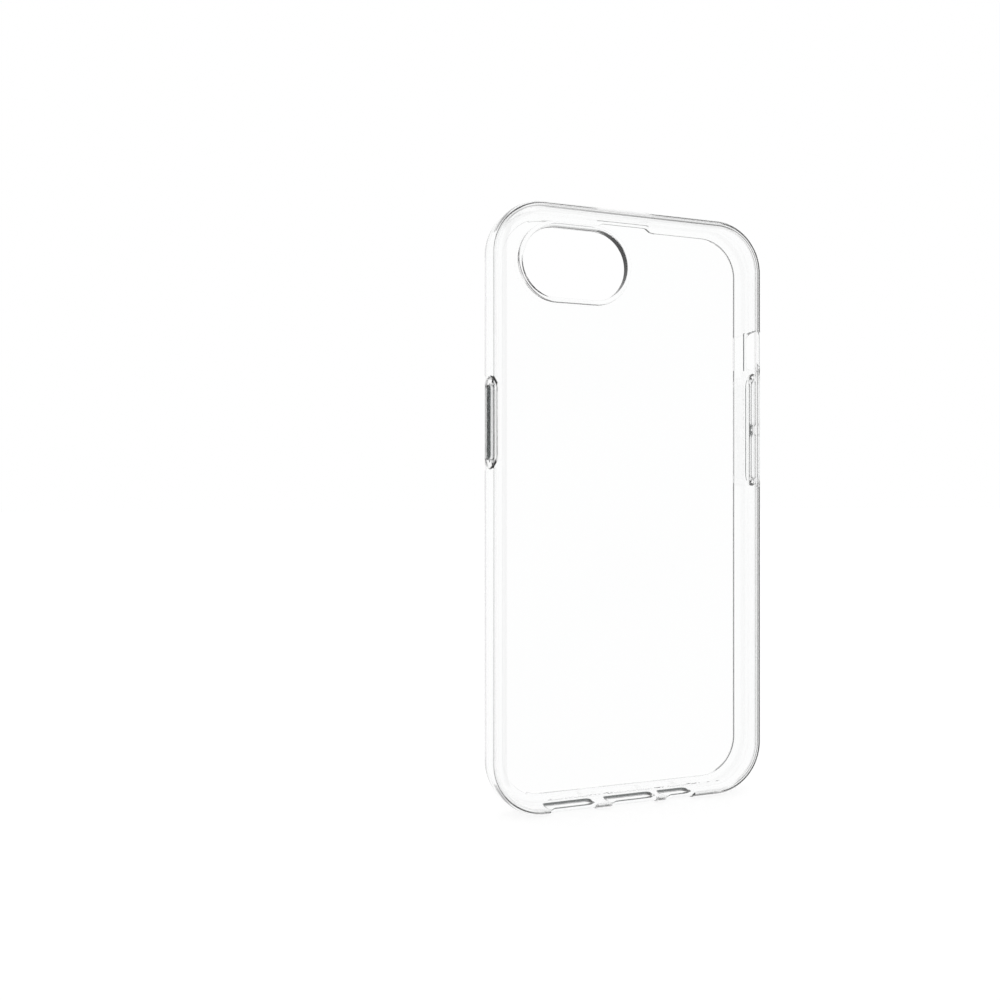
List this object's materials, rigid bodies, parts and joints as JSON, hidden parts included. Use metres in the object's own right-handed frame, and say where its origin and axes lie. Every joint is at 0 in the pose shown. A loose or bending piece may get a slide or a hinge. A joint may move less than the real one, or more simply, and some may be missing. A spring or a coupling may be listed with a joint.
{
  "type": "phone case",
  "caption": "Clear flexible phone case with a front lip, a raised rim round its camera opening, side keys that press in, and openings for the switch and ports.",
  "frame": {"origin": "centre of the case's footprint, at the level of its bottom edge", "axes": "+Z along the length towards the top edge, +Y from the back panel towards the open front, +X towards the side with the volume keys"},
  "size_m": [0.0764, 0.011, 0.1499],
  "materials": {
    "clear_panel": "clear, polished",
    "clear_bumper": "clear, glossy flexible plastic",
    "clear_rim": "clear, polished",
    "clear_keys": "clear, glossy flexible plastic"
  },
  "bodies": {
    "case": {"back_panel": "clear_panel", "bumper_frame": "clear_bumper", "camera_guard": "clear_rim", "power_key_web": "clear_bumper", "volume_key_web": "clear_bumper"},
    "power_key": {"power_key": "clear_keys"},
    "volume_up_key": {"volume_up_key": "clear_keys"},
    "volume_down_key": {"volume_down_key": "clear_keys"}
  },
  "joints": [
    {"name": "power_key_press", "type": "slide", "parent": "case", "child": "power_key", "axis": [1, 0, 0], "range_m": [0, 0.0003], "stiffness_N_per_m": 4000},
    {"name": "volume_up_press", "type": "slide", "parent": "case", "child": "volume_up_key", "axis": [-1, 0, 0], "range_m": [0, 0.0003], "stiffness_N_per_m": 4000},
    {"name": "volume_down_press", "type": "slide", "parent": "case", "child": "volume_down_key", "axis": [-1, 0, 0], "range_m": [0, 0.0003], "stiffness_N_per_m": 4000}
  ]
}
